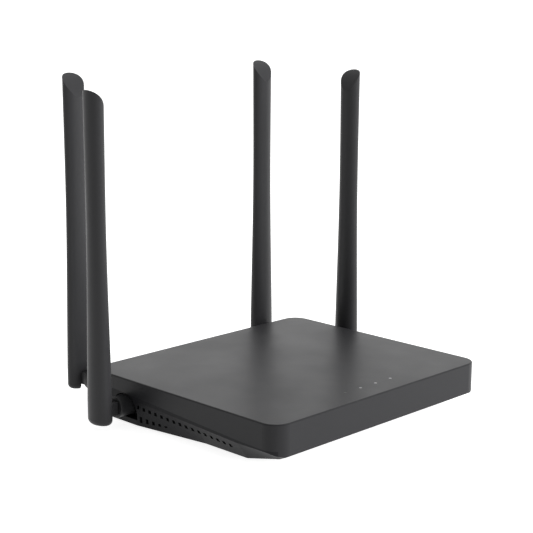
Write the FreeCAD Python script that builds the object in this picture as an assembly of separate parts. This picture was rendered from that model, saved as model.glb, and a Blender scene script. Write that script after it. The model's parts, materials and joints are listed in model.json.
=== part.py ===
import FreeCAD, Part
import math
import os

from FreeCAD import Vector

# Wireless router: a slim case with a bevelled underside and four folding blade antennas.
# All lengths are millimetres. Pieces are drawn about the middle of the case's plan, with Y to
# the rear and Z up from the table, and are moved at the end so that the origin is the bottom
# centre of the whole object, antennas included.

# Case
case_width = 162.0
case_depth = 140.7
case_corner = 9.5
top_edge_round = 0.8
wall = 2.0
foot_drop = 1.0

# Underside: a ramp up to the front wall, and bevels along the sides that die out to the rear
front_lip = 8.1
ramp_length = 26.35
corner_run = 4.35
corner_low = 6.2
waist_at_front = 10.5
waist_at_corner = 10.8
waist_at_ramp = 10.6
waist_at_rear = 16.1
bevel_in_front = 7.0
bevel_in_rear = 0.5
bevel_hold = 56.0
bevel_end_from_rear = 38.0

# Seam between the top cover and the lower shell
cover_over_seam = 3.0
seam_over_sockets = 2.0
seam_at_front = 11.3
seam_at_ramp = 12.0
seam_at_rear = 18.7
seam_step_start = 17.0
seam_step_end = 10.0
lip_thickness = 1.05
lip_clearance = 0.15
lip_overlap = 2.0
lip_height = 1.8

# Vents along both side bevels
vent_count = 16
vent_size = 2.0
vent_pitch = 4.48
vent_first = 39.3
vent_first_height = 11.4
vent_fall = 0.313
slot_vent_count = 5
slot_vent_pitch = 4.45
slot_vent_first = 41.0
slot_vent_width = 1.9
slot_vent_tallest = 3.4
slot_vent_shortest = 1.0
slot_vent_centre = 4.7
floor_slot_count = 11
floor_slot_pitch = 6.0
floor_slot_width = 2.2
floor_slot_length = 26.0
floor_slot_gap = 5.2

# Antenna places, measured from the case walls to the fold pin
side_stand_off = 16.3
rear_stand_off = 20.75
side_from_rear = 28.1
rear_from_side = 9.1
side_pivot = 10.4
rear_pivot = 14.4

# Antenna blade, measured from the fold pin
blade_length = 174.6
blade_heel = 6.6
heel_round = 2.8
blade_width = 16.0
blade_thickness = 10.4
blade_waist_width = 12.8
blade_tip_width = 13.2
blade_shoulder = 0.27
blade_waist_low = 0.55
blade_waist_high = 0.78
blade_skin = 1.3
tip_drop = 12.8
tip_slope = 0.7
foot_clearance = 0.1
foot_height = 14.0
lead_hole_offset = 1.6
board_width = 6.0
board_thickness = 0.8
board_length = 128.0

# Antenna hinge
seat_distance = 23.2
seat_gap = 0.2
barrel_radius = 5.8
barrel_end = 9.7
barrel_round = 0.7
stem_radius = 4.0
stem_tail = 1.3
tongue_width = 6.0
tongue_radius = 3.5
tongue_side_gap = 0.2
tongue_end_gap = 0.3
pin_radius = 1.25
pin_end_gap = 0.1
running_fit = 0.05
clip_thickness = 1.0
clip_radius = 5.2
clip_clearance = 0.3
clip_opening = 5.1
groove_depth = 0.85
lead_bore = 1.1
lead_exit = 7.6
pocket_half_width = 10.2
pocket_arch_top = 16.6
pocket_floor = 3.9
boss_radius = 7.5
boss_counterbore = 6.1
boss_proud = 2.0
boss_skirt = 4.2

# Circuit board and the pieces on it
pcb_top = 8.5
pcb_thickness = 1.6
pcb_side_gap = 23.0
pcb_front_gap = 11.35
pcb_rear_gap = 0.85
pcb_post_radius = 3.0
pcb_post_side = 5.0
pcb_post_front = 15.0
pcb_post_rear = 45.5
screw_radius = 1.25
screw_clearance = 0.25
pcb_screw_head = 2.4
pcb_screw_head_height = 1.4
chip_size = 14.0
chip_height = 1.2
memory_x = -23.8
memory_width = 8.4
flash_x = 22.4
flash_y = -4.2
flash_width = 6.3
flash_depth = 5.6
radio_x = 34.0
radio_y = -22.0
radio_chip_size = 8.0
radio_chip_height = 0.9
can_width = 30.0
can_depth = 24.0
can_height = 2.6
can_skin = 0.3
pad_height = 0.5
heatsink_size = 28.0
heatsink_base = 2.0
heatsink_height = 8.0
fin_count = 8
fin_thickness = 1.1
transformer_gap = 6.85
transformer_width = 13.0
transformer_depth = 7.5
transformer_height = 5.2
capacitor_gap = 9.6
capacitor_radius = 3.9
capacitor_height = 9.0
capacitor_round = 0.5
capacitor_steps = (12.0, 21.0)
inductor_places = (22.0, 31.0)
inductor_gap = 10.7
inductor_size = 6.5
inductor_height = 3.2
crystal_places = (-11.0, 15.0)
crystal_y = -10.0
crystal_width = 3.2
crystal_depth = 2.5
crystal_height = 0.9
led_width = 1.6
led_depth = 0.9
led_height = 0.7

# Sockets in the rear wall
socket_width = 16.0
socket_height = 11.5
socket_depth = 16.0
socket_recess = 0.6
socket_pitch = 16.2
socket_gap = 0.2
wan_socket_x = 8.0
first_lan_x = -12.0
lan_count = 3
plug_width = 11.8
plug_height = 7.0
plug_depth = 13.0
plug_base = 2.6
latch_width = 6.2
latch_height = 1.6
contact_count = 8
contact_pitch = 1.02
contact_width = 0.4
contact_reach = 10.0
contact_start = 2.4
contact_drop = 2.5
inlet_x = 52.0
inlet_width = 9.0
inlet_depth = 13.0
inlet_height = 10.5
inlet_centre = 5.7
inlet_nose = 3.9
inlet_bore = 3.1
inlet_bore_depth = 10.5
inlet_pin_radius = 1.0
inlet_pin_length = 9.0

# Buttons in the rear wall
button_height = 5.0
power_x = 38.0
power_size = 6.4
power_travel = 2.0
power_proud = 2.4
wps_x = 26.0
wps_radius = 2.2
wps_travel = 0.8
wps_proud = 1.2
button_gap = 0.2
button_flange = 1.2
button_flange_thickness = 1.2
button_length = 8.0
button_stem_length = 6.0
power_edge_round = 0.6
wps_edge_round = 0.4
power_switch_margin = 1.6
power_switch_depth = 9.0
wps_switch_margin = 2.0
wps_switch_depth = 7.5
power_stem_radius = 1.6
wps_stem_radius = 1.0
stem_bore_gap = 0.3

# Status lights
light_count = 4
light_first_x = -16.4
light_pitch = 12.05
light_from_front = 13.3
light_window_radius = 0.8
light_pipe_radius = 1.5
guide_bar_low = 20.0
guide_bar_thickness = 1.5
guide_bar_half_depth = 2.0
guide_lift = 1.8

# Fixings and feet
case_post_radius = 3.6
case_post_side = 17.0
case_post_front = 50.35
case_post_rear = 46.35
case_post_split = 13.0
case_screw_head = 2.5
case_screw_recess = 4.0
case_screw_head_height = 1.8
case_screw_length = 12.0
screw_slot_width = 0.6
foot_radius = 5.0
foot_recess = 0.8
front_foot_side = 20.0
front_foot_from_front = 32.35
rear_foot_side = 15.0
rear_foot_from_rear = 10.35

# Antenna leads
lead_radius = 0.7
lead_into_stem = 2.5
lead_start_inset = 9.0
lead_first_run = 6.0
side_lead_step = 6.0
side_lead_reach = 4.5
side_lead_drift = 0.9
side_lead_straight = 3.5
rear_lead_step = 14.0
rear_lead_reach = 6.0
rear_lead_climb = 2.6
rear_lead_turn = 10.6
rear_lead_drift = 1.2
rear_lead_rise_end = 5.6
rear_lead_below = 0.4
rear_lead_straight = 1.2
arc_share = 0.45
connector_size = 3.0
connector_height = 2.0

# Worked-out places
rear_seam = pcb_top + socket_height + seam_over_sockets
case_top = rear_seam + cover_over_seam
half_width = case_width / 2
half_depth = case_depth / 2
front_y = -half_depth
rear_y = half_depth
inner_rear = rear_y - wall
side_blade_x = half_width + side_stand_off
side_blade_y = rear_y - side_from_rear
rear_blade_x = half_width - rear_from_side
rear_blade_y = rear_y + rear_stand_off
side_seat = side_blade_x - seat_distance
rear_seat = rear_blade_y - seat_distance
whole_shift = -(rear_stand_off + blade_thickness / 2) / 2
pcb_half_width = half_width - pcb_side_gap
pcb_front = front_y + pcb_front_gap
pcb_rear = inner_rear - pcb_rear_gap
pcb_low = pcb_top - pcb_thickness
button_z = pcb_top + button_height
light_y = front_y + light_from_front
tongue_slot = tongue_width + 2 * tongue_side_gap
slot_radius = tongue_radius + tongue_end_gap
clip_low = -seat_distance - wall - seat_gap - clip_thickness
stem_end = clip_low - stem_tail
capacitor_y = inner_rear - socket_gap - inlet_depth - capacitor_gap - capacitor_radius / 2
inductor_y = capacitor_y - capacitor_radius - inductor_gap - inductor_size / 2
overshoot = 1.0
tiny = 0.001

antennas = {
    "left_side": (-side_blade_x, side_blade_y, side_pivot, 90),
    "right_side": (side_blade_x, side_blade_y, side_pivot, -90),
    "left_rear": (-rear_blade_x, rear_blade_y, rear_pivot, 0),
    "right_rear": (rear_blade_x, rear_blade_y, rear_pivot, 0),
}


def box(x0, x1, y0, y1, z0, z1):
    return Part.makeBox(x1 - x0, y1 - y0, z1 - z0, Vector(x0, y0, z0))


def rod(radius, start, direction, length):
    return Part.makeCylinder(radius, length, Vector(*start), Vector(*direction))


def join(pieces):
    whole = pieces[0]
    for piece in pieces[1:]:
        whole = whole.fuse(piece)
    return whole.removeSplitter()


def mirrored(shape):
    return shape.mirror(Vector(0, 0, 0), Vector(1, 0, 0))


def both_sides(shape):
    return [shape, mirrored(shape)]


def edges_at(shape, height):
    return [edge for edge in shape.Edges if all(abs(v.Z - height) < tiny for v in edge.Vertexes)]


# A height that rises evenly from the end of the ramp to the rear wall.
def rising(y, at_ramp, at_rear):
    return at_ramp + (at_rear - at_ramp) * (y - front_y - ramp_length) / (case_depth - ramp_length)


def waist_height(y):
    return rising(y, waist_at_ramp, waist_at_rear)


def seam_height(y):
    return rising(y, seam_at_ramp, seam_at_rear)


# ---- case ----

# A block with the case's plan, brought in by an inset.
def upright_block(inset, low, high):
    block = box(-half_width + inset, half_width - inset, front_y + inset, rear_y - inset, low, high)
    uprights = [edge for edge in block.Edges if abs(edge.tangentAt(edge.FirstParameter).z) > 0.9]
    return block.makeFillet(case_corner - inset, uprights)


# One upright slice of the belly across the case: side, slanted bevel and flat underside.
def belly_slice(y, waist, half_low, low, inset):
    roof = case_top + overshoot
    run = half_low - half_width
    fall = low - waist
    length = math.hypot(run, fall)
    start_x = half_width + fall / length * inset
    start_z = waist - run / length * inset
    side = half_width - inset
    side_z = start_z + (side - start_x) / run * fall
    floor = low + inset
    floor_x = start_x + (floor - start_z) / fall * run
    right = [(side, roof), (side, side_z), (floor_x, floor)]
    left = [(-floor_x, floor), (-side, side_z), (-side, roof)]
    corners = right + left
    points = [Vector(x, y, z) for x, z in corners]
    return Part.makePolygon(points + points[:1])


# The belly along the case, as straight runs between its few stations.
def belly(inset):
    ramp_end = front_y + ramp_length
    bevel_end = rear_y - bevel_end_from_rear
    low = foot_drop
    front_half = half_width - bevel_in_front
    rear_half = half_width - bevel_in_rear
    stations = [
        (front_y - overshoot, waist_at_front, front_half, front_lip),
        (front_y, waist_at_front, front_half, front_lip),
        (front_y + corner_run, waist_at_corner, front_half, corner_low),
        (ramp_end, waist_at_ramp, front_half, low),
        (front_y + bevel_hold, waist_height(front_y + bevel_hold), front_half, low),
        (bevel_end, waist_height(bevel_end), rear_half, low),
        (rear_y + overshoot, waist_height(rear_y), rear_half, low),
    ]
    slices = [belly_slice(y, waist, half_low, floor, inset) for y, waist, half_low, floor in stations]
    return Part.makeLoft(slices, True, True)


def case_outside():
    block = upright_block(0, 0, case_top)
    block = block.makeFillet(top_edge_round, edges_at(block, case_top))
    return block.common(belly(0))


def case_inside():
    return upright_block(wall, 0, case_top - wall).common(belly(wall))


# Everything that belongs to the top cover: above the seam, and the whole front wall.
def above_seam(lift):
    step_start = rear_y - seam_step_start
    outline = [
        (front_y - overshoot, 0),
        (front_y + wall, 0),
        (front_y + wall, seam_at_front),
        (front_y + ramp_length, seam_at_ramp),
        (step_start, seam_height(step_start)),
        (rear_y - seam_step_end, rear_seam),
        (rear_y + overshoot, rear_seam),
        (rear_y + overshoot, case_top + lip_height + overshoot),
        (front_y - overshoot, case_top + lip_height + overshoot),
    ]
    points = [Vector(-case_width, y, z + lift) for y, z in outline]
    face = Part.Face(Part.makePolygon(points + points[:1]))
    return face.extrude(Vector(2 * case_width, 0, 0))


# A tongue along the sides and the rear that locates the cover on the shell.
def locating_lip():
    inner = upright_block(wall + lip_thickness + lip_clearance, 0, case_top)
    root = upright_block(wall / 2, 0, case_top).cut(inner)
    root = root.common(above_seam(-lip_overlap)).cut(above_seam(0))
    below_ceiling = case_top - wall - lip_clearance
    tongue = upright_block(wall + lip_clearance, 0, below_ceiling).cut(inner)
    tongue = tongue.common(above_seam(0)).cut(above_seam(lip_height))
    behind_front = box(-case_width, case_width, front_y + ramp_length, rear_y, 0, case_top)
    return root.fuse(tongue).common(behind_front).common(case_outside())


def case_post_places():
    x = half_width - case_post_side
    return [(side * x, y) for side in (-1, 1) for y in (front_y + case_post_front, rear_y - case_post_rear)]


def guide_post_places():
    first = light_first_x + light_pitch / 2
    return [(first + light_pitch * index, light_y) for index in (0, light_count - 2)]


def light_places():
    return [(light_first_x + light_pitch * index, light_y) for index in range(light_count)]


def top_cover():
    ceiling = case_top - wall
    cover = case_outside().common(above_seam(0)).cut(upright_block(wall, 0, ceiling))
    for x, y in case_post_places():
        cover = cover.fuse(rod(case_post_radius, (x, y, case_post_split), (0, 0, 1), ceiling - case_post_split))
    for x, y in guide_post_places():
        bar_top = guide_bar_low + guide_bar_thickness
        cover = cover.fuse(rod(light_pipe_radius, (x, y, bar_top), (0, 0, 1), ceiling - bar_top))
    for x, y in case_post_places():
        screw_end = foot_drop + case_screw_recess + case_screw_length
        cover = cover.cut(rod(screw_radius, (x, y, 0), (0, 0, 1), screw_end))
    for x, y in light_places():
        window = light_window_radius + running_fit
        cover = cover.cut(rod(window, (x, y, ceiling - overshoot), (0, 0, 1), wall + 2 * overshoot))
    return cover.removeSplitter()


# An arch standing on a flat sill, seen from the side of the case.
def pocket_arch(grow, x0, x1):
    radius = pocket_half_width + grow
    centre = pocket_arch_top - pocket_half_width
    arch = rod(radius, (x0, side_blade_y, centre), (1, 0, 0), x1 - x0)
    legs = box(x0, x1, side_blade_y - radius, side_blade_y + radius, 0, centre)
    whole = arch.fuse(legs)
    return whole.common(box(x0, x1, -half_depth, half_depth, pocket_floor - grow, case_top))


def side_vents():
    cuts = []
    for index in range(vent_count):
        y = rear_y - vent_first - vent_pitch * index
        z = vent_first_height - vent_fall * index
        half = vent_size / 2
        inner = half_width - bevel_in_front - wall
        cuts.append(box(inner, half_width, y - half, y + half, z - half, z + half))
    for index in range(slot_vent_count):
        y = rear_y - slot_vent_first - slot_vent_pitch * index
        share = index / (slot_vent_count - 1)
        half_height = (slot_vent_tallest + (slot_vent_shortest - slot_vent_tallest) * share) / 2
        half = slot_vent_width / 2
        low = slot_vent_centre - half_height
        high = slot_vent_centre + half_height
        cuts.append(box(half_width - bevel_in_front - wall, half_width, y - half, y + half, low, high))
    return Part.makeCompound(cuts)


def floor_slots():
    cuts = []
    for index in range(floor_slot_count):
        x = floor_slot_pitch * (index - (floor_slot_count - 1) / 2)
        for y in (-floor_slot_gap / 2 - floor_slot_length, floor_slot_gap / 2):
            half = floor_slot_width / 2
            cuts.append(box(x - half, x + half, y, y + floor_slot_length, 0, foot_drop + wall + overshoot))
    return Part.makeCompound(cuts)


def foot_places():
    front = (half_width - front_foot_side, front_y + front_foot_from_front)
    rear = (half_width - rear_foot_side, rear_y - rear_foot_from_rear)
    return [(side * x, y) for side in (-1, 1) for x, y in (front, rear)]


def pcb_post_places():
    x = pcb_half_width - pcb_post_side
    return [(side * x, y) for side in (-1, 1) for y in (pcb_front + pcb_post_front, pcb_rear - pcb_post_rear)]


def socket_places():
    lan = [first_lan_x - socket_pitch * index for index in range(lan_count)]
    return [wan_socket_x] + lan


def rear_wall_windows():
    y0 = inner_rear - overshoot
    y1 = rear_y + overshoot
    cuts = []
    for x in socket_places():
        half = socket_width / 2 + socket_gap
        low = pcb_top - socket_gap
        high = pcb_top + socket_height + socket_gap
        cuts.append(box(x - half, x + half, y0, y1, low, high))
    half = power_size / 2 + button_gap
    cuts.append(box(power_x - half, power_x + half, y0, y1, button_z - half, button_z + half))
    cuts.append(rod(wps_radius + button_gap, (wps_x, y0, button_z), (0, 1, 0), y1 - y0))
    inlet_z = pcb_top + inlet_centre
    cuts.append(rod(inlet_nose + socket_gap, (inlet_x, y0, inlet_z), (0, 1, 0), y1 - y0))
    return Part.makeCompound(cuts)


def lower_shell():
    shell = case_outside().cut(above_seam(0)).cut(case_inside())
    shell = shell.fuse(locating_lip())
    # the antenna pockets in the sides
    liner_back = side_seat - wall
    inside_cover = half_width - wall - lip_clearance
    below_seam = case_outside().cut(above_seam(0))
    liner = pocket_arch(wall, liner_back, half_width + overshoot).common(below_seam)
    liner = liner.fuse(pocket_arch(wall, liner_back, inside_cover).common(case_outside()))
    bore_radius = stem_radius + running_fit
    axis_start = (liner_back - overshoot, side_blade_y, side_pivot)
    for piece in both_sides(liner):
        shell = shell.fuse(piece)
    for pocket in both_sides(pocket_arch(0, side_seat, half_width + overshoot)):
        shell = shell.cut(pocket)
    for bore in both_sides(rod(bore_radius, axis_start, (1, 0, 0), wall + 2 * overshoot)):
        shell = shell.cut(bore)
    # the antenna bosses at the rear corners
    boss_back = rear_seat - wall - boss_skirt
    boss_front = rear_y + boss_proud
    boss = rod(boss_radius, (rear_blade_x, boss_back, rear_pivot), (0, 1, 0), boss_front - boss_back)
    mouth_start = (rear_blade_x, rear_seat, rear_pivot)
    mouth = rod(boss_counterbore, mouth_start, (0, 1, 0), boss_front - rear_seat + overshoot)
    clip_room_start = (rear_blade_x, boss_back - overshoot, rear_pivot)
    clip_room = rod(clip_radius + clip_clearance, clip_room_start, (0, 1, 0), boss_skirt + overshoot)
    bore = rod(bore_radius, clip_room_start, (0, 1, 0), boss_skirt + wall + 2 * overshoot)
    for piece in both_sides(boss):
        shell = shell.fuse(piece)
    for hole in both_sides(mouth) + both_sides(clip_room) + both_sides(bore):
        shell = shell.cut(hole)
    # posts for the board and for the cover's screws
    floor = foot_drop + wall / 2
    for x, y in pcb_post_places():
        shell = shell.fuse(rod(pcb_post_radius, (x, y, floor), (0, 0, 1), pcb_low - floor))
        shell = shell.cut(rod(screw_radius, (x, y, foot_drop + wall), (0, 0, 1), pcb_top))
    for x, y in case_post_places():
        shell = shell.fuse(rod(case_post_radius, (x, y, floor), (0, 0, 1), case_post_split - floor))
        shell = shell.cut(rod(screw_radius + screw_clearance, (x, y, 0), (0, 0, 1), case_post_split + overshoot))
        recess = rod(case_screw_head + screw_clearance, (x, y, 0), (0, 0, 1), foot_drop + case_screw_recess)
        shell = shell.cut(recess)
    for x, y in foot_places():
        shell = shell.cut(rod(foot_radius, (x, y, 0), (0, 0, 1), foot_drop + foot_recess))
    for cuts in both_sides(side_vents()):
        shell = shell.cut(cuts)
    shell = shell.cut(floor_slots())
    return shell.cut(rear_wall_windows()).removeSplitter()


def rubber_feet():
    feet = []
    for x, y in foot_places():
        foot = rod(foot_radius, (x, y, 0), (0, 0, 1), foot_drop + foot_recess)
        feet.append(foot.makeFillet(foot_drop / 2, edges_at(foot, 0)))
    return Part.makeCompound(feet)


# A cross-recess screw with its head down, from underneath.
def case_screws():
    screws = []
    for x, y in case_post_places():
        under_head = foot_drop + case_screw_recess
        head_low = under_head - case_screw_head_height
        head = rod(case_screw_head, (x, y, head_low), (0, 0, 1), case_screw_head_height)
        head = head.makeFillet(case_screw_head_height / 3, edges_at(head, head_low))
        screw = head.fuse(rod(screw_radius, (x, y, under_head), (0, 0, 1), case_screw_length))
        half = case_screw_head / 2
        slot = screw_slot_width / 2
        depth = case_screw_head_height / 2
        screw = screw.cut(box(x - half, x + half, y - slot, y + slot, head_low, head_low + depth))
        screw = screw.cut(box(x - slot, x + slot, y - half, y + half, head_low, head_low + depth))
        screws.append(screw)
    return Part.makeCompound(screws)


# ---- circuit board and electronics ----

def circuit_board():
    board = box(-pcb_half_width, pcb_half_width, pcb_front, pcb_rear, pcb_low, pcb_top)
    for x, y in pcb_post_places():
        board = board.cut(rod(screw_radius + screw_clearance, (x, y, 0), (0, 0, 1), case_top))
    return board


def board_screws():
    screws = []
    for x, y in pcb_post_places():
        head = rod(pcb_screw_head, (x, y, pcb_top), (0, 0, 1), pcb_screw_head_height)
        head = head.makeFillet(pcb_screw_head_height / 3, edges_at(head, pcb_top + pcb_screw_head_height))
        shaft = rod(screw_radius, (x, y, foot_drop + wall), (0, 0, 1), pcb_top - foot_drop - wall)
        screws.append(head.fuse(shaft))
    return Part.makeCompound(screws)


# A low block on the board, given by its centre, its width across and its depth.
def board_block(x, y, across, deep, height):
    return box(x - across / 2, x + across / 2, y - deep / 2, y + deep / 2, pcb_top, pcb_top + height)


def main_chip():
    return board_block(0, 0, chip_size, chip_size, chip_height)


def memory_chip():
    return board_block(memory_x, 0, memory_width, chip_size, chip_height)


def flash_chip():
    return board_block(flash_x, flash_y, flash_width, flash_depth, chip_height)


def radio_chips():
    chip = board_block(radio_x, radio_y, radio_chip_size, radio_chip_size, radio_chip_height)
    return Part.makeCompound(both_sides(chip))


# A pressed metal lid with open underside over one radio chip.
def shield_cans():
    can = board_block(radio_x, radio_y, can_width, can_depth, can_height)
    across = can_width - 2 * can_skin
    deep = can_depth - 2 * can_skin
    can = can.cut(board_block(radio_x, radio_y, across, deep, can_height - can_skin))
    return Part.makeCompound(both_sides(can))


def thermal_pad():
    low = pcb_top + chip_height
    half = chip_size / 2
    return box(-half, half, -half, half, low, low + pad_height)


def heatsink():
    low = pcb_top + chip_height + pad_height
    half = heatsink_size / 2
    sink = box(-half, half, -half, half, low, low + heatsink_base)
    pitch = (heatsink_size - fin_thickness) / (fin_count - 1)
    for index in range(fin_count):
        x = -half + pitch * index
        sink = sink.fuse(box(x, x + fin_thickness, -half, half, low, low + heatsink_height))
    return sink.removeSplitter()


def transformers():
    y = rear_y - socket_recess - socket_depth - transformer_gap - transformer_depth / 2
    sizes = (transformer_width, transformer_depth, transformer_height)
    return Part.makeCompound([board_block(x, y, *sizes) for x in socket_places()])


def capacitors():
    cans = []
    for step in capacitor_steps:
        can = rod(capacitor_radius, (inlet_x - step, capacitor_y, pcb_top), (0, 0, 1), capacitor_height)
        cans.append(can.makeFillet(capacitor_round, edges_at(can, pcb_top + capacitor_height)))
    return Part.makeCompound(cans)


def inductors():
    sizes = (inductor_size, inductor_size, inductor_height)
    return Part.makeCompound([board_block(x, inductor_y, *sizes) for x in inductor_places])


def crystals():
    sizes = (crystal_width, crystal_depth, crystal_height)
    return Part.makeCompound([board_block(x, crystal_y, *sizes) for x in crystal_places])


def status_leds():
    sizes = (led_width, led_depth, led_height)
    return Part.makeCompound([board_block(x, y, *sizes) for x, y in light_places()])


def light_guide():
    first = light_places()[0][0] - light_pipe_radius
    last = light_places()[-1][0] + light_pipe_radius
    half = guide_bar_half_depth
    bar_top = guide_bar_low + guide_bar_thickness
    guide = box(first, last, light_y - half, light_y + half, guide_bar_low, bar_top)
    pipe_low = pcb_top + guide_lift
    for x, y in light_places():
        guide = guide.fuse(rod(light_pipe_radius, (x, y, pipe_low), (0, 0, 1), guide_bar_low - pipe_low))
        guide = guide.fuse(rod(light_window_radius, (x, y, bar_top), (0, 0, 1), case_top - bar_top))
    return guide.removeSplitter()


# ---- sockets ----

# The socket takes a standard eight-way plug with its latch downwards.
def network_socket(x):
    front = rear_y - socket_recess
    back = front - socket_depth
    half = socket_width / 2
    body = box(x - half, x + half, back, front, pcb_top, pcb_top + socket_height)
    plug_low = pcb_top + plug_base
    half_plug = plug_width / 2
    mouth_back = front - plug_depth
    mouth_front = front + overshoot
    mouth = box(x - half_plug, x + half_plug, mouth_back, mouth_front, plug_low, plug_low + plug_height)
    half_latch = latch_width / 2
    latch = box(x - half_latch, x + half_latch, mouth_back, mouth_front, plug_low - latch_height, plug_low)
    return body.cut(mouth.fuse(latch))


# Eight sprung contact wires slope down from the roof of each socket's mouth.
def socket_contacts():
    wires = []
    front = rear_y - socket_recess
    back = front - plug_depth
    roof = pcb_top + plug_base + plug_height
    for socket_x in socket_places():
        for index in range(contact_count):
            x = socket_x + contact_pitch * (index - (contact_count - 1) / 2) - contact_width / 2
            outline = [
                (back + contact_reach - contact_width, roof),
                (back + contact_reach, roof),
                (back + contact_start, roof - contact_drop),
                (back + contact_start, roof - contact_drop + contact_width),
            ]
            points = [Vector(x, y, z) for y, z in outline]
            face = Part.Face(Part.makePolygon(points + points[:1]))
            wires.append(face.extrude(Vector(contact_width, 0, 0)))
    return Part.makeCompound(wires)


def power_inlet():
    nose_end = rear_y - socket_recess
    front = inner_rear - socket_gap
    half = inlet_width / 2
    z = pcb_top + inlet_centre
    body = box(inlet_x - half, inlet_x + half, front - inlet_depth, front, pcb_top, pcb_top + inlet_height)
    body = body.fuse(rod(inlet_nose, (inlet_x, front, z), (0, 1, 0), nose_end - front))
    bore_start = nose_end - inlet_bore_depth
    return body.cut(rod(inlet_bore, (inlet_x, bore_start, z), (0, 1, 0), inlet_bore_depth + overshoot))


def power_inlet_pin():
    start = rear_y - socket_recess - inlet_bore_depth
    pin = rod(inlet_pin_radius, (inlet_x, start, pcb_top + inlet_centre), (0, 1, 0), inlet_pin_length)
    rim = [edge for edge in pin.Edges if all(v.Y > start + inlet_pin_length / 2 for v in edge.Vertexes)]
    return pin.makeFillet(inlet_pin_radius / 2, [edge for edge in rim if edge.Closed])


# ---- buttons ----

# A button slides in the rear wall on a flange and a stem: its shape, from the wall inwards.
def button_depths(proud):
    face = rear_y + proud
    flange_front = inner_rear - button_gap
    back = rear_y - button_length
    return face, flange_front, back


def power_button():
    face, flange_front, back = button_depths(power_proud)
    half = power_size / 2
    cap = box(power_x - half, power_x + half, back, face, button_z - half, button_z + half)
    front_edges = [edge for edge in cap.Edges if all(v.Y > face - tiny for v in edge.Vertexes)]
    cap = cap.makeFillet(power_edge_round, front_edges)
    wide = half + button_flange
    flange_back = flange_front - button_flange_thickness
    flange = box(power_x - wide, power_x + wide, flange_back, flange_front, button_z - half, button_z + half)
    stem_start = (power_x, back - button_stem_length, button_z)
    stem = rod(power_stem_radius, stem_start, (0, 1, 0), button_stem_length)
    return join([cap, flange, stem])


def wps_button():
    face, flange_front, back = button_depths(wps_proud)
    cap = rod(wps_radius, (wps_x, back, button_z), (0, 1, 0), face - back)
    rim = [edge for edge in cap.Edges if edge.Closed and edge.Vertexes[0].Y > face - tiny]
    cap = cap.makeFillet(wps_edge_round, rim)
    flange_back = flange_front - button_flange_thickness
    flange_start = (wps_x, flange_back, button_z)
    flange = rod(wps_radius + button_flange, flange_start, (0, 1, 0), button_flange_thickness)
    stem = rod(wps_stem_radius, (wps_x, back - button_stem_length, button_z), (0, 1, 0), button_stem_length)
    return join([cap, flange, stem])


# The switch body behind a button, with the bore that its stem moves in.
def switch_body(x, across, deep, button_stem_radius, travel):
    back_of_cap = rear_y - button_length
    front = back_of_cap - travel - stem_bore_gap
    body = box(x - across / 2, x + across / 2, front - deep, front, pcb_top, button_z + across / 2)
    bore_end = back_of_cap - button_stem_length - travel - stem_bore_gap
    bore_radius = button_stem_radius + stem_bore_gap
    bore = rod(bore_radius, (x, bore_end, button_z), (0, 1, 0), front + overshoot - bore_end)
    return body.cut(bore)


def power_switch():
    across = power_size + power_switch_margin
    return switch_body(power_x, across, power_switch_depth, power_stem_radius, power_travel)


def wps_switch():
    across = 2 * wps_radius + wps_switch_margin
    return switch_body(wps_x, across, wps_switch_depth, wps_stem_radius, wps_travel)


# ---- antennas: drawn with the fold pin at the origin, Y outboard and Z up the blade ----

# The blade is a turned form with a rounded heel, flattened across its thickness.
def blade_form(inset, corner):
    reach = blade_length - blade_heel
    low = -blade_heel + inset
    high = reach + overshoot
    half = blade_width / 2 - inset
    waist = blade_waist_width / 2 - inset
    tip = blade_tip_width / 2 - inset
    slope = corner * math.sin(math.pi / 4)
    heel_mid = Vector(half - corner + slope, 0, low + corner - slope)
    heel_end = Vector(half, 0, low + corner)
    side_start = Vector(half, 0, blade_heel)
    side = Part.BSplineCurve()
    side.interpolate(Points=[
        side_start,
        Vector((half + waist) / 2, 0, reach * blade_shoulder),
        Vector(waist, 0, reach * blade_waist_low),
        Vector(waist, 0, reach * blade_waist_high),
        Vector(tip, 0, high),
    ])
    outline = Part.Wire([
        Part.LineSegment(Vector(0, 0, low), Vector(half - corner, 0, low)).toShape(),
        Part.Arc(Vector(half - corner, 0, low), heel_mid, heel_end).toShape(),
        Part.LineSegment(heel_end, side_start).toShape(),
        side.toShape(),
        Part.LineSegment(Vector(tip, 0, high), Vector(0, 0, high)).toShape(),
        Part.LineSegment(Vector(0, 0, high), Vector(0, 0, low)).toShape(),
    ])
    turned = Part.Face(outline).revolve(Vector(0, 0, 0), Vector(0, 0, 1), 360)
    flatten = FreeCAD.Matrix()
    flatten.scale(1, (blade_thickness / 2 - inset) / half, 1)
    return turned.transformGeometry(flatten)


# What the tip's rounded slope removes: it starts at the outboard edge and falls towards the case.
def tip_waste():
    top = blade_length - blade_heel
    span = blade_tip_width * blade_thickness / blade_width
    outboard = span / 2
    rise = (span ** 2 + tip_drop ** 2) / (2 * (tip_drop - span * tip_slope))
    centre_y = outboard + tip_slope * rise
    radius = rise * math.hypot(1, tip_slope)
    low = top - tip_drop - blade_heel / 2
    waste = box(-blade_width, blade_width, -blade_width, outboard + overshoot, low, top + 2 * overshoot)
    return waste.cut(rod(radius, (-blade_width, centre_y, top - rise), (1, 0, 0), 2 * blade_width))


# The space that the base's tongue needs as the blade folds outboard by a quarter turn.
def tongue_space():
    half = tongue_slot / 2
    low = -blade_heel - overshoot
    inboard = box(-half, half, -blade_width, 0, low, slot_radius)
    under = box(-half, half, 0, slot_radius, low, 0)
    return inboard.fuse(under).fuse(rod(slot_radius, (-half, 0, 0), (1, 0, 0), tongue_slot))


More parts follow.
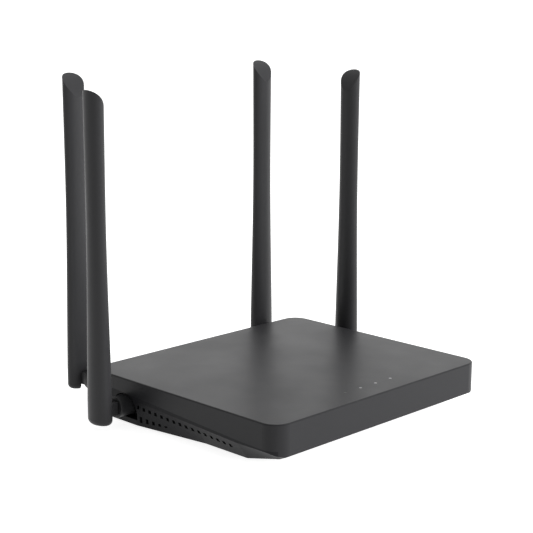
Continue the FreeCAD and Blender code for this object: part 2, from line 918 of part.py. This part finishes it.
def blade_sleeve():
    cavity_high = blade_length - blade_heel - tip_drop - blade_skin
    room = box(-blade_width, blade_width, -blade_width, blade_width, -blade_heel, cavity_high)
    cavity = blade_form(blade_skin, heel_round - blade_skin).common(room)
    return blade_form(0, heel_round).cut(cavity).cut(tip_waste()).cut(tongue_space())


def blade_foot():
    inset = blade_skin + foot_clearance
    room = box(-blade_width, blade_width, -blade_width, blade_width, -blade_heel, foot_height)
    foot = blade_form(inset, heel_round - inset).common(room)
    foot = foot.cut(tongue_space())
    foot = foot.cut(rod(pin_radius, (-blade_width, 0, 0), (1, 0, 0), 2 * blade_width))
    return foot.cut(rod(lead_bore, (0, -lead_hole_offset, 0), (0, 0, 1), foot_height + overshoot))


# The pin ends just short of the sleeve's skin, which curves in towards the blade's faces.
def hinge_pin():
    half_room = blade_width / 2 - blade_skin
    half_depth_of_room = blade_thickness / 2 - blade_skin
    reach = half_room * math.sqrt(1 - (pin_radius / half_depth_of_room) ** 2) - pin_end_gap
    return rod(pin_radius, (-reach, 0, 0), (1, 0, 0), 2 * reach)


def radiator_board():
    half = board_width / 2
    return box(-half, half, 0, board_thickness, foot_height, foot_height + board_length)


# The base turns in the case wall on its stem and carries the blade on its tongue.
def swivel_base():
    flange = -seat_distance + seat_gap
    barrel = rod(barrel_radius, (0, flange, 0), (0, 1, 0), -barrel_end - flange)
    rim = [edge for edge in barrel.Edges if edge.Closed and edge.Vertexes[0].Y > -barrel_end - tiny]
    barrel = barrel.makeFillet(barrel_round, rim)
    stem = rod(stem_radius, (0, stem_end, 0), (0, 1, 0), flange - stem_end)
    half = tongue_width / 2
    neck = box(-half, half, -barrel_end - overshoot, 0, -tongue_radius, tongue_radius)
    knuckle = rod(tongue_radius, (-half, 0, 0), (1, 0, 0), tongue_width)
    base = join([barrel, stem, neck, knuckle])
    base = base.cut(rod(pin_radius + running_fit, (-tongue_width, 0, 0), (1, 0, 0), 2 * tongue_width))
    groove = rod(stem_radius + overshoot, (0, clip_low, 0), (0, 1, 0), clip_thickness)
    groove = groove.cut(rod(stem_radius - groove_depth, (0, clip_low, 0), (0, 1, 0), clip_thickness))
    base = base.cut(groove)
    bore = rod(lead_bore, (0, stem_end - overshoot, 0), (0, 1, 0), -lead_exit - stem_end + overshoot)
    riser = rod(lead_bore, (0, -lead_exit, 0), (0, 0, 1), tongue_radius + overshoot)
    return base.cut(bore).cut(riser)


# An open ring that snaps into the stem's groove behind the case wall.
def retaining_clip():
    inner = stem_radius - groove_depth + running_fit
    ring = rod(clip_radius, (0, clip_low, 0), (0, 1, 0), clip_thickness)
    ring = ring.cut(rod(inner, (0, clip_low, 0), (0, 1, 0), clip_thickness))
    half = clip_opening / 2
    return ring.cut(box(-half, half, clip_low, clip_low + clip_thickness, -2 * clip_radius, 0))


def place_antenna(shape, place):
    x, y, z, turn = place
    placed = shape.copy()
    placed.rotate(Vector(0, 0, 0), Vector(0, 0, 1), turn)
    placed.translate(Vector(x, y, z))
    return placed


# ---- antenna leads ----

# The points each lead passes on its way from its connector into the stem of its base.
def side_lead_points():
    z = pcb_top + connector_height / 2
    start_x = pcb_half_width - lead_start_inset
    start_y = side_blade_y - side_lead_step
    stem_mouth = side_blade_x + stem_end
    return [
        (start_x, start_y, z),
        (start_x + lead_first_run, start_y, z),
        (pcb_half_width + side_lead_reach, side_blade_y - side_lead_drift, side_pivot),
        (stem_mouth - side_lead_straight, side_blade_y, side_pivot),
        (stem_mouth + lead_into_stem, side_blade_y, side_pivot),
    ]


def rear_lead_points():
    z = pcb_top + connector_height / 2
    start_x = pcb_half_width - lead_start_inset
    stem_mouth = rear_blade_y + stem_end
    start_y = stem_mouth - rear_lead_step
    rise_end_y = stem_mouth - rear_lead_rise_end
    return [
        (start_x, start_y, z),
        (start_x + lead_first_run, start_y, z),
        (pcb_half_width + rear_lead_reach, stem_mouth - rear_lead_turn, z + rear_lead_climb),
        (rear_blade_x - rear_lead_drift, rise_end_y, rear_pivot - rear_lead_below),
        (rear_blade_x, stem_mouth - rear_lead_straight, rear_pivot),
        (rear_blade_x, stem_mouth + lead_into_stem, rear_pivot),
    ]


# A round lead along straight runs joined by tangent arcs.
def lead(places):
    points = [Vector(*place) for place in places]
    edges = []
    start = points[0]
    for before, corner, after in zip(points, points[1:], points[2:]):
        into = corner - before
        out = after - corner
        reach = arc_share * min(into.Length, out.Length)
        arc_start = corner - into.normalize() * reach
        arc_end = corner + out.normalize() * reach
        half_turn = into.getAngle(out) / 2
        radius = reach / math.tan(half_turn)
        inward = (out - into).normalize()
        middle = corner + inward * (radius / math.cos(half_turn) - radius)
        edges.append(Part.LineSegment(start, arc_start).toShape())
        edges.append(Part.Arc(arc_start, middle, arc_end).toShape())
        start = arc_end
    edges.append(Part.LineSegment(start, points[-1]).toShape())
    path = Part.Wire(edges)
    ring = Part.Wire([Part.makeCircle(lead_radius, points[0], points[1] - points[0])])
    return path.makePipeShell([ring], True, False), path.Length


def antenna_connectors():
    blocks = []
    for points in (side_lead_points(), rear_lead_points()):
        x, y, z = points[0]
        block = board_block(x - connector_size / 2, y, connector_size, connector_size, connector_height)
        blocks += both_sides(block)
    return Part.makeCompound(blocks)


# ---- the whole object ----

def build():
    parts = {
        "top_cover": top_cover(),
        "lower_shell": lower_shell(),
        "rubber_feet": rubber_feet(),
        "case_screws": case_screws(),
        "circuit_board": circuit_board(),
        "board_screws": board_screws(),
        "main_chip": main_chip(),
        "memory_chip": memory_chip(),
        "flash_chip": flash_chip(),
        "radio_chips": radio_chips(),
        "shield_cans": shield_cans(),
        "thermal_pad": thermal_pad(),
        "heatsink": heatsink(),
        "transformers": transformers(),
        "capacitors": capacitors(),
        "inductors": inductors(),
        "crystals": crystals(),
        "status_leds": status_leds(),
        "light_guide": light_guide(),
        "socket_contacts": socket_contacts(),
        "power_inlet": power_inlet(),
        "power_inlet_pin": power_inlet_pin(),
        "power_button": power_button(),
        "power_switch": power_switch(),
        "wps_button": wps_button(),
        "wps_switch": wps_switch(),
        "antenna_connectors": antenna_connectors(),
        "wan_socket": network_socket(wan_socket_x),
    }
    for index in range(lan_count):
        parts["lan_socket_" + str(index + 1)] = network_socket(first_lan_x - socket_pitch * index)
    for side, lead_points in (("side", side_lead_points()), ("rear", rear_lead_points())):
        shape, length = lead(lead_points)
        print("lead", side, "length", round(length, 2), "volume check",
              round(shape.Volume / (math.pi * lead_radius ** 2 * length), 4))
        parts["right_" + side + "_lead"] = shape
        parts["left_" + side + "_lead"] = mirrored(shape)
    pieces = {
        "base": swivel_base(),
        "clip": retaining_clip(),
        "pin": hinge_pin(),
        "sleeve": blade_sleeve(),
        "foot": blade_foot(),
        "radiator": radiator_board(),
    }
    for name, place in antennas.items():
        for piece, shape in pieces.items():
            parts[name + "_" + piece] = place_antenna(shape, place)
    return parts


os.makedirs("parts", exist_ok=True)
for name, shape in build().items():
    shape.translate(Vector(0, whole_shift, 0))
    print(name, "solids", len(shape.Solids), "valid", shape.isValid(), "volume", round(shape.Volume, 1))
    shape.exportStep("parts/" + name + ".step")
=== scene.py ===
# Wireless router: the finishes of its case, its four folding antennas, its sockets and what is inside.
import json
import math

import bpy
from mathutils import Matrix, Vector

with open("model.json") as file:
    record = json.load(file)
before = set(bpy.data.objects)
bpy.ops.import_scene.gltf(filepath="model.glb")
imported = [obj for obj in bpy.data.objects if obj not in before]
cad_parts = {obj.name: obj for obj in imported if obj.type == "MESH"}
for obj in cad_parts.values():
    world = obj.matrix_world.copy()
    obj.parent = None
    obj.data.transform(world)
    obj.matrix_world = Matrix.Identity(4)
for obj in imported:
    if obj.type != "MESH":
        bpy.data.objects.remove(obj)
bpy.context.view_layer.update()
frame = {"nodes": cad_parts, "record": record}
nodes = frame["nodes"]
scene = bpy.context.scene


# A shader node with its input sockets filled, each by a value or by a link.
def addNode(tree, kind, sockets=None, **settings):
    node = tree.nodes.new(kind)
    for name, value in settings.items():
        setattr(node, name, value)
    for name, value in (sockets or {}).items():
        if isinstance(value, bpy.types.NodeSocket):
            tree.links.new(value, node.inputs[name])
        else:
            node.inputs[name].default_value = value
    return node


def placeOnPiece(tree):
    return addNode(tree, "ShaderNodeTexCoord").outputs["Object"]


# How finely the noise textures are broken up, and the range that most of their values fill.
noiseLook = {
    "plainDetail": 0.0,
    "grainDetail": 2.0,
    "lineDetail": 3.0,
    "cloudDetail": 4.0,
    "low": 0.3,
    "high": 0.7,
}


def cloudy(tree, place, size, detail="grainDetail"):
    sockets = {"Vector": place, "Scale": 1 / size, "Detail": noiseLook[detail]}
    return addNode(tree, "ShaderNodeTexNoise", sockets).outputs["Fac"]


def scaled(tree, value, fromLow, fromHigh, toLow, toHigh):
    ends = {"Value": value, "From Min": fromLow, "From Max": fromHigh, "To Min": toLow, "To Max": toHigh}
    return addNode(tree, "ShaderNodeMapRange", ends).outputs["Result"]


# The roughness goes from its glossiest to its dullest with the noise.
def setRoughness(tree, shader, noise, glossiest, dullest):
    drift = scaled(tree, noise, noiseLook["low"], noiseLook["high"], glossiest, dullest)
    tree.links.new(drift, shader.inputs["Roughness"])


def twoColours(tree, share, first, second):
    return addNode(tree, "ShaderNodeMix", {0: share, 6: first, 7: second}, data_type="RGBA").outputs[2]


levelLook = {
    "side": 0.6,                              # up to this upright share, a face counts as a side
    "top": 0.8,                               # and from here as a top or an underside
}


# How far the surface faces up or down, from 0 on its sides to 1 on its top and underside.
def levelness(tree):
    facing = addNode(tree, "ShaderNodeTexCoord").outputs["Normal"]
    height = addNode(tree, "ShaderNodeSeparateXYZ", {0: facing}).outputs["Z"]
    size = addNode(tree, "ShaderNodeMath", {0: height}, operation="ABSOLUTE").outputs[0]
    return scaled(tree, size, levelLook["side"], levelLook["top"], 0.0, 1.0)


def startFinish(name):
    finish = bpy.data.materials.new(name)
    finish.use_nodes = True
    return finish, finish.node_tree, finish.node_tree.nodes["Principled BSDF"]


def setRelief(tree, shader, height, depth):
    relief = addNode(tree, "ShaderNodeBump", {"Height": height, "Distance": depth, "Strength": 1.0})
    tree.links.new(relief.outputs["Normal"], shader.inputs["Normal"])


# A camera at table height, a little above the router, near its front left corner.
cameraLook = {
    "place": (-0.53118, -0.51850, 0.24046),   # metres
    "turn": -45.521,                          # degrees, from looking along +Y
    "tilt": 12.361,                           # degrees downwards
    "roll": 0.261,
    "lens": 93.67,                            # millimetres
    "sensor": 36.0,
    "farthest": 200.0,
}


def setCamera(look):
    data = bpy.data.cameras.new("camera")
    data.lens = look["lens"]
    data.sensor_width = look["sensor"]
    data.clip_end = look["farthest"]
    camera = bpy.data.objects.new("camera", data)
    heading = Matrix.Rotation(math.radians(look["turn"]), 4, "Z")
    pitch = Matrix.Rotation(math.radians(90.0 - look["tilt"]), 4, "X")
    roll = Matrix.Rotation(math.radians(look["roll"]), 4, "Z")
    camera.matrix_world = Matrix.Translation(look["place"]) @ heading @ pitch @ roll
    scene.collection.objects.link(camera)
    scene.camera = camera


# White paper that glows a little, so that hardly any shadow shows on it.
floorLook = {
    "size": 60.0,
    "deep": (0.43, 0.43, 0.43, 1.0),
    "pale": (0.47, 0.47, 0.47, 1.0),
    "glow": 0.85,
    "fibreSize": 0.004,
    "roughness": 0.9,
    "specular": 0.1,
}


def layFloor(look):
    half = look["size"] / 2
    mesh = bpy.data.meshes.new("floor")
    corners = [(-half, -half, 0), (half, -half, 0), (half, half, 0), (-half, half, 0)]
    mesh.from_pydata(corners, [], [(0, 1, 2, 3)])
    floor = bpy.data.objects.new("floor", mesh)
    scene.collection.objects.link(floor)
    paper, tree, shader = startFinish("floorPaper")
    fibres = cloudy(tree, placeOnPiece(tree), look["fibreSize"])
    tree.links.new(twoColours(tree, fibres, look["deep"], look["pale"]), shader.inputs["Base Color"])
    shader.inputs["Roughness"].default_value = look["roughness"]
    shader.inputs["Specular IOR Level"].default_value = look["specular"]
    shader.inputs["Emission Color"].default_value = (1.0, 1.0, 1.0, 1.0)
    shader.inputs["Emission Strength"].default_value = look["glow"]
    mesh.materials.append(paper)


# A white room that is brightest behind the router, with one large soft lamp ahead on the right.
roomLook = {
    "bright": 1.45,
    "dim": 0.45,
    "brightSide": (0.70, 0.70, 0.14),         # the direction of the bright side
    "fadeFrom": -0.6,                         # where the light starts to rise towards that side
    "fadeTo": 1.0,
    "lampPlace": (0.9, -1.7, 0.75),           # metres
    "lampSize": 1.3,
    "lampPower": 115.0,
}


def lightRoom(look):
    world = bpy.data.worlds.new("studio")
    world.use_nodes = True
    scene.world = world
    tree = world.node_tree
    background = tree.nodes["Background"]
    place = addNode(tree, "ShaderNodeTexCoord").outputs["Generated"]
    sides = {0: place, 1: look["brightSide"]}
    facing = addNode(tree, "ShaderNodeVectorMath", sides, operation="DOT_PRODUCT").outputs["Value"]
    fade = scaled(tree, facing, look["fadeFrom"], look["fadeTo"], look["dim"], look["bright"])
    straight = addNode(tree, "ShaderNodeLightPath").outputs["Is Camera Ray"]
    shown = addNode(tree, "ShaderNodeMix", {0: straight, 2: fade, 3: 1.0})
    tree.links.new(shown.outputs[0], background.inputs["Strength"])
    background.inputs["Color"].default_value = (1.0, 1.0, 1.0, 1.0)
    data = bpy.data.lights.new("lamp", "AREA")
    data.size = look["lampSize"]
    data.energy = look["lampPower"]
    lamp = bpy.data.objects.new("lamp", data)
    lamp.rotation_euler = (-Vector(look["lampPlace"])).to_track_quat("-Z", "Y").to_euler()
    lamp.location = look["lampPlace"]
    lamp.visible_glossy = False               # it isn't mirrored as a glare in the top cover
    scene.collection.objects.link(lamp)


setCamera(cameraLook)
layFloor(floorLook)
lightRoom(roomLook)
scene.view_settings.view_transform = "Standard"
print("studio ready")


# Plastic from a textured mould: fine grain, with faint clouds in its colour and its gloss.
def mouldedPlastic(name, look):
    finish, tree, shader = startFinish(name)
    place = placeOnPiece(tree)
    clouds = cloudy(tree, place, look["cloudSize"], "cloudDetail")
    tree.links.new(twoColours(tree, clouds, look["deep"], look["pale"]), shader.inputs["Base Color"])
    drift = look["roughnessDrift"]
    setRoughness(tree, shader, clouds, look["roughness"] - drift, look["roughness"] + drift)
    setRelief(tree, shader, cloudy(tree, place, look["grainSize"]), look["grainDepth"])
    shader.inputs["Specular IOR Level"].default_value = look["specular"]
    return finish


coverLook = {
    "deep": (0.010, 0.010, 0.011, 1.0),
    "pale": (0.013, 0.013, 0.014, 1.0),
    "roughness": 0.38,
    "roughnessDrift": 0.03,
    "specular": 0.15,
    "grainSize": 0.0004,
    "grainDepth": 0.00001,
    "cloudSize": 0.03,
}

shellLook = {
    "deep": (0.007, 0.007, 0.008, 1.0),
    "pale": (0.010, 0.010, 0.011, 1.0),
    "roughness": 0.5,
    "roughnessDrift": 0.04,
    "specular": 0.1,
    "grainSize": 0.0005,
    "grainDepth": 0.00002,
    "cloudSize": 0.03,
}

antennaLook = {
    "deep": (0.014, 0.014, 0.015, 1.0),
    "pale": (0.018, 0.018, 0.019, 1.0),
    "roughness": 0.4,
    "roughnessDrift": 0.03,
    "specular": 0.18,
    "grainSize": 0.0004,
    "grainDepth": 0.00001,
    "cloudSize": 0.04,
}

buttonLook = {
    "deep": (0.030, 0.030, 0.031, 1.0),
    "pale": (0.036, 0.036, 0.037, 1.0),
    "roughness": 0.35,
    "roughnessDrift": 0.04,
    "specular": 0.5,
    "grainSize": 0.0003,
    "grainDepth": 0.000008,
    "cloudSize": 0.004,
}

socketLook = {
    "deep": (0.012, 0.012, 0.013, 1.0),
    "pale": (0.017, 0.017, 0.018, 1.0),
    "roughness": 0.3,
    "roughnessDrift": 0.05,
    "specular": 0.5,
    "grainSize": 0.0003,
    "grainDepth": 0.000006,
    "cloudSize": 0.006,
}

rubberLook = {
    "deep": (0.010, 0.010, 0.010, 1.0),
    "pale": (0.018, 0.018, 0.018, 1.0),
    "roughness": 0.85,
    "roughnessDrift": 0.06,
    "specular": 0.25,
    "grainSize": 0.0003,
    "grainDepth": 0.00003,
    "cloudSize": 0.003,
}

chipLook = {
    "deep": (0.012, 0.012, 0.013, 1.0),
    "pale": (0.020, 0.020, 0.021, 1.0),
    "roughness": 0.6,
    "roughnessDrift": 0.08,
    "specular": 0.4,
    "grainSize": 0.00012,
    "grainDepth": 0.000012,
    "cloudSize": 0.002,
}

ferriteLook = {
    "deep": (0.028, 0.028, 0.031, 1.0),
    "pale": (0.050, 0.050, 0.054, 1.0),
    "roughness": 0.55,
    "roughnessDrift": 0.10,
    "specular": 0.5,
    "grainSize": 0.00025,
    "grainDepth": 0.00003,
    "cloudSize": 0.0012,
}

padLook = {
    "deep": (0.20, 0.26, 0.34, 1.0),
    "pale": (0.29, 0.36, 0.44, 1.0),
    "roughness": 0.75,
    "roughnessDrift": 0.08,
    "specular": 0.3,
    "grainSize": 0.0006,
    "grainDepth": 0.00004,
    "cloudSize": 0.0015,
}

jacketLook = {
    "deep": (0.010, 0.010, 0.011, 1.0),
    "pale": (0.016, 0.016, 0.017, 1.0),
    "roughness": 0.25,
    "roughnessDrift": 0.06,
    "specular": 0.5,
    "grainSize": 0.0008,
    "grainDepth": 0.00002,
    "cloudSize": 0.003,
}


# Metal with fine lines drawn out one way, and faint stains.
def drawnMetal(name, look):
    finish, tree, shader = startFinish(name)
    place = placeOnPiece(tree)
    drawnOut = {0: place, 1: look["drawnOut"]}
    along = addNode(tree, "ShaderNodeVectorMath", drawnOut, operation="MULTIPLY").outputs["Vector"]
    lines = cloudy(tree, along, look["lineSize"], "lineDetail")
    stains = cloudy(tree, place, look["stainSize"], "cloudDetail")
    tree.links.new(twoColours(tree, stains, look["deep"], look["pale"]), shader.inputs["Base Color"])
    drift = look["roughnessDrift"]
    setRoughness(tree, shader, lines, look["roughness"] - drift, look["roughness"] + drift)
    setRelief(tree, shader, lines, look["lineDepth"])
    shader.inputs["Metallic"].default_value = 1.0
    return finish


zincLook = {
    "deep": (0.50, 0.51, 0.50, 1.0),
    "pale": (0.66, 0.66, 0.64, 1.0),
    "roughness": 0.32,
    "roughnessDrift": 0.08,
    "drawnOut": (1.0, 1.0, 1.0),
    "lineSize": 0.0005,
    "lineDepth": 0.000006,
    "stainSize": 0.002,
}

lidLook = {
    "deep": (0.62, 0.62, 0.60, 1.0),
    "pale": (0.74, 0.74, 0.72, 1.0),
    "roughness": 0.28,
    "roughnessDrift": 0.07,
    "drawnOut": (1.0, 12.0, 12.0),
    "lineSize": 0.004,
    "lineDepth": 0.000006,
    "stainSize": 0.006,
}

sinkLook = {
    "deep": (0.66, 0.67, 0.68, 1.0),
    "pale": (0.77, 0.78, 0.79, 1.0),
    "roughness": 0.35,
    "roughnessDrift": 0.08,
    "drawnOut": (20.0, 1.0, 20.0),
    "lineSize": 0.006,
    "lineDepth": 0.00001,
    "stainSize": 0.008,
}

goldLook = {
    "deep": (0.78, 0.56, 0.22, 1.0),
    "pale": (0.90, 0.70, 0.34, 1.0),
    "roughness": 0.22,
    "roughnessDrift": 0.06,
    "drawnOut": (8.0, 1.0, 8.0),
    "lineSize": 0.003,
    "lineDepth": 0.000004,
    "stainSize": 0.002,
}


# Green lacquer over bundles of copper traces, with the glass laminate bare on the cut edges.
boardLook = {
    "lacquer": (0.010, 0.085, 0.035, 1.0),
    "overCopper": (0.022, 0.150, 0.060, 1.0),
    "laminate": (0.26, 0.24, 0.13, 1.0),
    "traceGap": 0.0011,                       # metres from trace to trace
    "traceFoot": 0.60,                        # where on the wave a trace starts to rise
    "traceTop": 0.75,
    "traceDepth": 0.00004,
    "bundleSize": 0.012,
    "turnFrom": 0.49,                         # the noise between these turns the traces
    "turnTo": 0.51,
    "bareFrom": 0.42,                         # below these the board has no traces
    "bareTo": 0.44,
    "roughness": 0.3,
}

bandsPerScale = 20.0 / (2 * math.pi)          # bands per metre of Blender's wave texture at scale 1


def stripes(tree, place, direction, look):
    bands = {"Vector": place, "Scale": 1 / (look["traceGap"] * bandsPerScale)}
    wave = addNode(tree, "ShaderNodeTexWave", bands, bands_direction=direction)
    return scaled(tree, wave.outputs["Fac"], look["traceFoot"], look["traceTop"], 0.0, 1.0)


def lacqueredBoard(name, look):
    finish, tree, shader = startFinish(name)
    place = placeOnPiece(tree)
    areas = cloudy(tree, place, look["bundleSize"], "plainDetail")
    turned = scaled(tree, areas, look["turnFrom"], look["turnTo"], 0.0, 1.0)
    patches = cloudy(tree, place, look["bundleSize"] / 2, "plainDetail")
    covered = scaled(tree, patches, look["bareFrom"], look["bareTo"], 0.0, 1.0)
    across = stripes(tree, place, "X", look)
    along = stripes(tree, place, "Y", look)
    either = addNode(tree, "ShaderNodeMix", {0: turned, 2: across, 3: along}).outputs[0]
    traces = addNode(tree, "ShaderNodeMath", {0: either, 1: covered}, operation="MULTIPLY").outputs[0]
    coat = twoColours(tree, traces, look["lacquer"], look["overCopper"])
    colour = twoColours(tree, levelness(tree), look["laminate"], coat)
    tree.links.new(colour, shader.inputs["Base Color"])
    setRelief(tree, shader, traces, look["traceDepth"])
    shader.inputs["Roughness"].default_value = look["roughness"]
    return finish


# A part whose top differs from its sides, such as a sleeved can or a lamp in its package.
def cappedPart(name, look):
    finish, tree, shader = startFinish(name)
    place = placeOnPiece(tree)
    specks = cloudy(tree, place, look["speckSize"], "lineDetail")
    level = levelness(tree)
    side = twoColours(tree, specks, look["side"], look["sidePale"])
    tree.links.new(twoColours(tree, level, side, look["top"]), shader.inputs["Base Color"])
    tree.links.new(scaled(tree, level, 0.0, 1.0, 0.0, look["topMetal"]), shader.inputs["Metallic"])
    setRoughness(tree, shader, specks, look["glossy"], look["dull"])
    setRelief(tree, shader, specks, look["speckDepth"])
    return finish


canLook = {
    "side": (0.012, 0.018, 0.040, 1.0),
    "sidePale": (0.020, 0.028, 0.055, 1.0),
    "top": (0.70, 0.71, 0.72, 1.0),
    "topMetal": 1.0,
    "glossy": 0.18,
    "dull": 0.30,
    "speckSize": 0.001,
    "speckDepth": 0.000008,
}

ledLook = {
    "side": (0.75, 0.75, 0.72, 1.0),
    "sidePale": (0.85, 0.85, 0.82, 1.0),
    "top": (0.80, 0.72, 0.30, 1.0),
    "topMetal": 0.0,
    "glossy": 0.25,
    "dull": 0.40,
    "speckSize": 0.0004,
    "speckDepth": 0.000005,
}


# Milky clear acrylic. The first pipe stands over something dark, so its colour carries painted shade: it
# is painted dark up to a place along X.
guideLook = {
    # painted shade for the first pipe, standing in for the dark below showing through; the acrylic
    # itself is the milky colour
    "paintedShade": (0.004, 0.004, 0.004, 1.0),
    "milky": (0.13, 0.13, 0.13, 1.0),
    "paintedShadeUpTo": -0.0104,                      # metres along X
    "paintedShadeEdge": 0.0002,
    "roughness": 0.3,
    "hazeSize": 0.0006,
    "hazeDepth": 0.000006,
    "milkShare": 0.15,
    "milkDepth": 0.001,
}


def milkyAcrylic(name, look):
    finish, tree, shader = startFinish(name)
    place = placeOnPiece(tree)
    sideways = addNode(tree, "ShaderNodeSeparateXYZ", {0: place}).outputs["X"]
    # painted shade: along X up to the first pipe's end the colour is painted dark, past it the milky
    # colour
    unshaded = scaled(tree, sideways, look["paintedShadeUpTo"], look["paintedShadeUpTo"] + look["paintedShadeEdge"], 0.0, 1.0)
    tree.links.new(twoColours(tree, unshaded, look["paintedShade"], look["milky"]), shader.inputs["Base Color"])
    setRelief(tree, shader, cloudy(tree, place, look["hazeSize"]), look["hazeDepth"])
    shader.inputs["Roughness"].default_value = look["roughness"]
    shader.inputs["Subsurface Weight"].default_value = look["milkShare"]
    shader.inputs["Subsurface Scale"].default_value = look["milkDepth"]
    return finish


# One finish for each of the record's material slots.
finishOfSlot = {
    "cover_plastic": mouldedPlastic("coverPlastic", coverLook),
    "shell_plastic": mouldedPlastic("shellPlastic", shellLook),
    "antenna_plastic": mouldedPlastic("antennaPlastic", antennaLook),
    "button_plastic": mouldedPlastic("buttonPlastic", buttonLook),
    "socket_plastic": mouldedPlastic("socketPlastic", socketLook),
    "foot_rubber": mouldedPlastic("footRubber", rubberLook),
    "chip_black": mouldedPlastic("chipEpoxy", chipLook),
    "ferrite": mouldedPlastic("ferrite", ferriteLook),
    "pad_silicone": mouldedPlastic("padSilicone", padLook),
    "lead_jacket": mouldedPlastic("leadJacket", jacketLook),
    "zinc_steel": drawnMetal("zincSteel", zincLook),
    "tinned_lid": drawnMetal("tinnedLid", lidLook),
    "sink_aluminium": drawnMetal("sinkAluminium", sinkLook),
    "contact_gold": drawnMetal("contactGold", goldLook),
    "board_green": lacqueredBoard("boardLacquer", boardLook),
    "can_sleeve": cappedPart("canSleeve", canLook),
    "led_white": cappedPart("ledPackage", ledLook),
    "light_acrylic": milkyAcrylic("lightAcrylic", guideLook),
}

for row in frame["record"]["subparts"]:
    for slot in nodes[row["node"]].material_slots:
        slot.material = finishOfSlot[row["material_slot"]]
print("finishes ready:", len(finishOfSlot))
